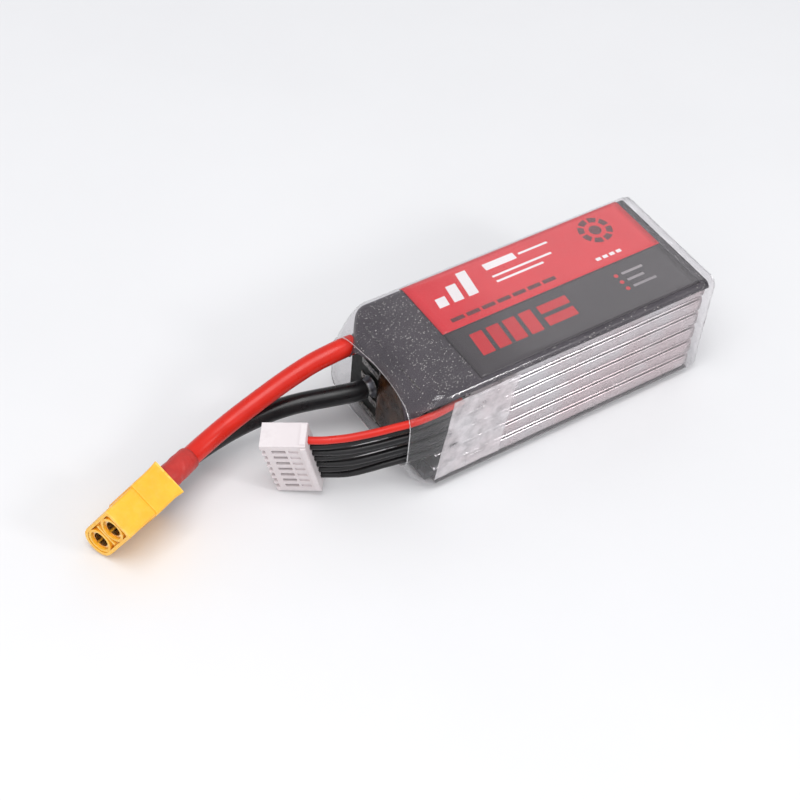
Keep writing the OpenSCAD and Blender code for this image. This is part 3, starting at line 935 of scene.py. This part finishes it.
def pouch_seam(i, z_mid, half_y, side, label):
    """A side seam folded up against its cell."""
    steps, run, half_seam = 44, 64, 1.75
    fold = []
    for k in range(steps + 1):
        x = CELL_X[0] + 1 + run * k / steps
        low = z_mid - half_seam + 0.08 * wave(x, 0, z_mid, 14.0, 2.0)
        high = z_mid + half_seam + 0.10 * wave(x, 1, z_mid, 11.0, 5.0)
        lean = 0.06 * wave(x, 2, z_mid, 12.0, 9.0)
        profile = ((-0.05, low), (0.10, low + 0.15), (0.30, z_mid - 0.9),
                   (0.30, z_mid + 0.6), (0.12, high), (-0.05, high))
        fold.append([(x, side * (half_y + y + lean * (z > z_mid)), z) for y, z in profile])
    new_loft(f"pouch_{i + 1}_seam_{label}", fold, FOIL, slot="pouch")


def pouch_ledge(i, z_mid):
    """The sealed ledge in front of a cell, where its tabs come out."""
    half, run, columns, rows = 14.2, 5.6, 24, 8
    ledge = []
    for m in range(rows + 1):
        x = CELL_X[0] - 5 + run * m / rows
        ys = (-half + 2 * half * k / columns for k in range(columns + 1))
        ledge.append([(x, y, z_mid + 0.12 * wave(x, y, 0, 4.0, 3.0 * i)) for y in ys])
    new_sheet(f"pouch_{i + 1}_ledge", ledge, FOIL, 0.35, slot="pouch")


def pouch(i):
    z_mid = STACK_LOW + i * CELL_PITCH + CELL_T / 2
    half_y = CELL_W / 2 - 0.36
    pouch_body(i, z_mid, half_y)
    for side, label in ((-1, "near"), (1, "far")):
        pouch_seam(i, z_mid, half_y, side, label)
    pouch_ledge(i, z_mid)


def lead_joint(name, route, nodes):
    """Solder that has run up from the board round the end of a power lead."""
    x0, x1 = -38.0, -36.2
    profile = [
        (x0 - 0.05, 1.2), (x0 + 0.1, 1.7), (x0 + 0.6, 1.95),
        (x0 + 1.1, 2.15), (x1 - 0.25, 2.5), (x1, 2.75),
    ]
    build = bmesh.new()
    add_turned(build, profile, route[0][1], route[0][2], sides=32)
    for vertex in build.verts:
        p = vertex.co / MM
        away = Vector((0, p.y - route[0][1], p.z - route[0][2]))
        vertex.co += away * 0.12 * wave(p.x, p.y, p.z, 1.8, 4.0) * MM
    # The solder finish is darkened as painted shade for the mouth.
    finish_piece(name, build, SOLDER, nodes=nodes)


def amber_wrap():
    """Amber tape laid over the bare tabs, a little loose; its finish is darkened nearly to black as painted
    shade.
    """
    x, z0, height, y0, width, rows, columns = -36.47, 4.6, 19.8, -11, 14.4, 28, 20
    grid = []
    for m in range(rows + 1):
        z = z0 + height * m / rows
        ys = (y0 + width * k / columns for k in range(columns + 1))
        grid.append([(x - 0.12 * (1 + wave(0, y, z, 3.2, 6.0)), y, z) for y in ys])
    new_sheet("tab_tape", grid, AMBER, 0.1, slot="amber_tape", nodes=["board_tape"])


def build_inside():
    for i in range(CELL_COUNT):
        pouch(i)
    for i in range(CELL_COUNT - 1):
        paint(f"cell_pad_{i + 1}", PAD)
    # The tabs, taps and board take finishes darkened as painted shade for the mouth.
    for node, material in (
        ("positive_tabs", ALUMINIUM), ("negative_tabs", NICKEL), ("balance_taps", NICKEL),
        ("tab_board", BOARD), ("top_foam", FOAM), ("bottom_foam", FOAM), ("bottom_paper", PAPER),
        ("bottom_label", STOCK),
    ):
        paint(node, material)
    lead_joint("lead_joint_red", RED_ROUTE, ["lead_solder"])
    lead_joint("lead_joint_black", BLACK_ROUTE, [])
    amber_wrap()


# ---- paper, label and tape ----

FLAT_HALF = 14.8
PAPER_HALF = 17.1
FOLD_Z = 26.6


def over_shoulder(s, top):
    """Y and Z of the point s millimetres from the middle of a layer that bends down over both long edges."""
    radius = top - FOLD_Z
    bend = max(0.0, abs(s) - FLAT_HALF) / radius
    y = min(abs(s), FLAT_HALF) + radius * sin(bend)
    return copysign(y, s), FOLD_Z + radius * cos(bend)


def paper_point(x, u):
    """A point on the speckled paper; u runs from -1 at the near edge to 1 at the far edge."""
    y0, y1, top, drop_near, drop_far, back = blended(LIP, x)
    y, z = over_shoulder(u * PAPER_HALF, 28.3)
    mid, half = (y0 + y1) / 2, (y1 - y0) / 2
    drop = drop_near if u < 0 else drop_far
    return (x + back * (1 - u * u), mid + half * y / 16.45, top - (28.35 - z) - drop * u ** 4)


def speckled_wrap():
    xs = [-40.6 + 0.38 * k for k in range(20)] + [-33 + 3 * k for k in range(24)] + [38.0]
    grid = [[paper_point(x, -1 + 2 * k / 56) for k in range(57)] for x in xs]
    new_sheet("speckled_wrap", grid, PAPER, 0.25, slot="speckled_paper", nodes=["top_paper"])


LABEL_X = (-23.5, 36.1)
BAND_EDGE = -0.6
LABEL_Z = 28.52


def label_band(name, s0, s1, material, nodes):
    grid = []
    for m in range(31):
        x = LABEL_X[0] + (LABEL_X[1] - LABEL_X[0]) * m / 30
        row = []
        for k in range(25):
            y, z = over_shoulder(s0 + (s1 - s0) * k / 24, LABEL_Z)
            row.append((x, y, z))
        grid.append(row)
    new_sheet(name, grid, material, 0.16, slot="label", nodes=nodes)


PRINT_T = 0.03


def flat_print(name, outlines, material):
    """Ink shapes on the label: each outline is a list of (x, y) corners, counter-clockwise."""
    build = bmesh.new()
    for outline in outlines:
        low = [build.verts.new(Vector((x, y, LABEL_Z - 0.005)) * MM) for x, y in outline]
        high = [build.verts.new(Vector((x, y, LABEL_Z + PRINT_T)) * MM) for x, y in outline]
        build.faces.new(low)
        build.faces.new(high)
        for k in range(len(outline)):
            n = (k + 1) % len(outline)
            build.faces.new([low[k], low[n], high[n], high[k]])
    finish_piece(name, build, material, smooth=False)


def bar(x0, x1, y0, y1, slant=0.0):
    """A bar whose upper edge is moved along X by slant."""
    return [(x0, y0), (x1, y0), (x1 + slant, y1), (x0 + slant, y1)]


def bar_row(count, x0, x1, pitch, y0, y1, slant=0.0):
    return [bar(x0 + pitch * k, x1 + pitch * k, y0, y1, slant) for k in range(count)]


def arc_band(x, y, inner, outer, a0, a1, steps=8):
    """Part of a flat ring, from angle a0 to a1 in degrees."""
    angles = [radians(a0 + (a1 - a0) * k / steps) for k in range(steps + 1)]
    return [(x + outer * cos(a), y + outer * sin(a)) for a in angles] + [
        (x + inner * cos(a), y + inner * sin(a)) for a in angles[::-1]
    ]


def print_mark():
    """Three slanting bars of growing height."""
    shapes = []
    for k, high in enumerate((2.8, 5.0, 7.4)):
        shapes += bar_row(1, -19.6 + 3.9 * k, -17.0 + 3.9 * k, 0, 6.3, 6.3 + high, 0.16 * high)
    flat_print("label_mark", shapes, WHITE_INK)


def print_lines():
    flat_print("label_line_strong", [bar(-3.8, 4.6, 11.2, 13.2), bar(5.6, 13.6, 11.9, 12.5)], WHITE_INK)
    flat_print("label_line_fine", [bar(-3.8, 12.4, 8.6, 9.2), bar(-3.8, 9.0, 6.9, 7.5)], WHITE_INK)
    flat_print("label_small_dark", bar_row(7, -19.6, -16.2, 4.1, 1.4, 2.5), DARK_INK)
    flat_print("label_small_white", bar_row(4, 19.9, 21.2, 1.9, 1.5, 2.4), WHITE_INK)


def print_wheel():
    """A dark ring of eight lobes round a dot."""
    x, y = 25.8, 10.1
    shapes = [arc_band(x, y, 2.6, 4.1, 45 * k + 6, 45 * k + 39) for k in range(8)]
    shapes.append(arc_band(x, y, 0.02, 1.5, 0, 359, 24))
    flat_print("label_wheel", shapes, DARK_INK)


def print_gauge():
    """Slanting red blocks like a charge gauge, two bars beside them and a short list with red dots."""
    flat_print("label_gauge", bar_row(4, -19.4, -16.2, 4.3, -10.0, -3.4, 0.7), PRINT_RED)
    beside = [bar(-1.2, 6.6, -6.0, -3.6, 0.2), bar(-1.6, 6.2, -9.8, -7.2, 0.2)]
    flat_print("label_gauge_bars", beside, PRINT_RED)
    rows = (-4.4, -6.6, -8.8)
    flat_print("label_dots", [arc_band(20.6, y, 0.02, 0.55, 0, 359, 16) for y in rows], PRINT_RED)
    lines = [bar(22.2, end, y - 0.35, y + 0.35) for y, end in zip(rows, (28.0, 26.8, 28.6))]
    flat_print("label_list", lines, PALE_INK)


def side_tape(name, side, node, seed):
    """Milky tape over the roots of the tabs, rumpled, its free end cut at a slant."""
    rows, columns, z0, height, slant, face_y = 44, 40, 3, 23, 3, 16.72
    grid = []
    for m in range(rows + 1):
        v = m / rows
        z = z0 + height * v
        x0, x1 = -34 + slant * v, -17 + slant * v
        row = []
        for k in range(columns + 1):
            x = x0 + (x1 - x0) * k / columns + 0.35 * wave(0, 0, z, 2.5, seed) * (k / columns)
            rumple = 0.5 + 0.5 * wave(x, 0, z, 3.0, seed)
            row.append((x, side * (face_y - 0.34 * rumple), z))
        grid.append(row if side < 0 else row[::-1])
    new_sheet(name, grid, TAPE, 0.08, slot="side_tape", nodes=[node])


def build_wrap():
    speckled_wrap()
    label_band("label_red_band", BAND_EDGE, 16.7, RED_INK, ["top_label"])
    label_band("label_charcoal_band", -15.0, BAND_EDGE, CHARCOAL_INK, [])
    print_mark()
    print_lines()
    print_wheel()
    print_gauge()
    side_tape("side_tape_near", -1, "near_side_tape", 2.3)
    side_tape("side_tape_far", 1, "far_side_tape", 8.1)


# ---- shrink film ----

# Half width and half height of the open window in the far end, and its corner radius
WINDOW = (11.5, 8.5)
WINDOW_R = 2.0
# Steps round each corner, along Y and along Z of every ring of the film
FILM_STEPS = (6, 30, 24)
CRINKLE_X = 37.6
FAR_END = [(38.0, 0.0), (38.9, 0.10), (39.6, 0.32), (40.2, 0.75), (40.65, 1.3), (40.9, 1.9)]


def film_ring(x, y0, y1, z0, z1, r, back):
    """One ring of the film; the hood's edge is set back towards the middle of its top."""
    ring = rounded_ring(x, y0, y1, z0, z1, (r,) * 4, *FILM_STEPS)
    mid, half = (y0 + y1) / 2, (y1 - y0) / 2
    return [
        (px + back * max(0.0, 1 - ((y - mid) / half) ** 2) * (z - z0) / (z1 - z0), y, z)
        for px, y, z in ring
    ]


def film_pull(p):
    """How far the film is drawn in at a point, in millimetres: sides most, top and bottom little."""
    x, y, z = p
    side = min(1.0, max(0.0, (abs(y) - 15.5) / 1.2))
    mouth = min(1.0, max(0.0, (-33 - x) / 6))
    far = min(1.0, max(0.0, (x - 36) / 3))
    slow = 0.5 + 0.5 * wave(x * 0.35, y, z, 4.5, 1.0)
    quick = abs(wave(x, y, z, 1.9, 4.0))
    return side * 0.10 * slow + mouth * 0.28 * slow + far * 0.65 * quick


def drawn_in(ring):
    mid = Vector((0, 0, PACK_H / 2))
    out = []
    for p in ring:
        pull = film_pull(p)
        inward = Vector((0, mid.y - p[1] * 0.9, mid.z - p[2])).normalized()
        out.append(tuple(Vector(p) + inward * pull))
    return out


def film_rings():
    rings = []
    for k in range(16):
        x = -41 + 0.5 * k
        rings.append(drawn_in(film_ring(x, *blended(HOOD, x))))
    for k in range(48):
        x = -33 + 71 * k / 47
        rings.append(drawn_in(film_ring(x, *HOOD[-1][1:])))
    for x, inset in FAR_END[1:]:
        side, top = PACK_W / 2 - inset, PACK_H - inset
        rings.append(drawn_in(film_ring(x, -side, side, inset, top, EDGE_R, 0)))
    outer = rings[-1]
    wide, high, mid = *WINDOW, PACK_H / 2
    window = rounded_ring(40.9, -wide, wide, mid - high, mid + high, (WINDOW_R,) * 4, *FILM_STEPS)
    for f in (0.12, 0.3, 0.5, 0.7, 0.88, 1.0):
        ring = []
        for a, b in zip(outer, window):
            p = Vector(a).lerp(Vector(b), f)
            p.x = 40.72 - 0.5 * abs(wave(p.y, p.z, 0, 2.2, 3.0)) * f - 0.25 * f
            ring.append(tuple(p))
        rings.append(ring)
    return rings


def rim_bead(name, ring, radius):
    """The rolled edge of the film, where it looks white."""
    count, sides = len(ring), 8
    loop = [Vector(p) for p in ring]
    points = []
    for k, p in enumerate(loop):
        along = (loop[(k + 1) % count] - loop[k - 1]).normalized()
        across = along.cross(Vector((1, 0, 0))).normalized()
        third = along.cross(across)
        r = radius * (0.8 + 0.35 * wave(*p, 2.0, 5.0))
        for a in (tau * s / sides for s in range(sides)):
            points.append(tuple(p + r * (cos(a) * across + sin(a) * third)))
    new_piece(name, points, closed_tube_faces(count, sides), FILM_EDGE, slot="clear_film")


def build_film():
    rings = film_rings()
    skin = new_loft("film_skin", rings, FILM, closed_ends=False, slot="clear_film", nodes=["shrink_film"])
    thicken(skin, FILM_T)
    skin.data.materials.append(FILM_CRINKLED)
    for polygon in skin.data.polygons:
        polygon.material_index = int(polygon.center.x > CRINKLE_X * MM)
    rim_bead("film_mouth_rim", rings[0], 0.13)
    rim_bead("film_window_rim", rings[-1], 0.16)
    fold = next(i for i, ring in enumerate(rings) if ring[0][0] > FAR_END[2][0] - 0.2)
    rim_bead("film_end_fold", rings[fold], 0.14)


# ---- room ----

def soft_light(name, at, aim, size, power):
    data = bpy.data.lights.new(name, "AREA")
    data.shape = "RECTANGLE"
    data.size = size
    data.size_y = size
    data.energy = power
    light = add_object(name, data)
    light.location = at
    light.rotation_euler = (Vector(aim) - Vector(at)).to_track_quat("-Z", "Y").to_euler()


def build_room():
    world = bpy.data.worlds.new("studio")
    world.use_nodes = True
    world.node_tree.nodes["Background"].inputs["Color"].default_value = (0.96, 0.97, 1.0, 1)
    world.node_tree.nodes["Background"].inputs["Strength"].default_value = 0.62
    bpy.context.scene.world = world
    bpy.context.scene.view_settings.view_transform = "Standard"
    soft_light("top_light", (-0.25, -0.15, 0.75), (-0.03, 0, 0), 0.5, 3.7)
    soft_light("film_light", (0.485, 0.40, 0.542), (0.485, 0.4005, 0.03), 0.30, 0.24)
    soft_light("front_light", (-0.55, -0.45, 0.35), (-0.03, 0, 0.01), 0.4, 0.7)
    soft_light("side_light", (0.30, -0.60, 0.46), (0, -0.017, 0.02), 0.14, 1.2)
    build = bmesh.new()
    bmesh.ops.create_grid(build, x_segments=2, y_segments=2, size=2.0)
    mesh = mesh_of(build, "floor")
    mesh.materials.append(new_finish("floor_paper", (0.78, 0.78, 0.79), (0.76, 0.76, 0.77), 6, 0.6, 0.75))
    floor = add_object("floor", mesh)
    floor.location.z = -0.0001


place_camera()
build_leads()
build_inside()
build_wrap()
build_film()
build_room()

bpy.context.view_layer.update()
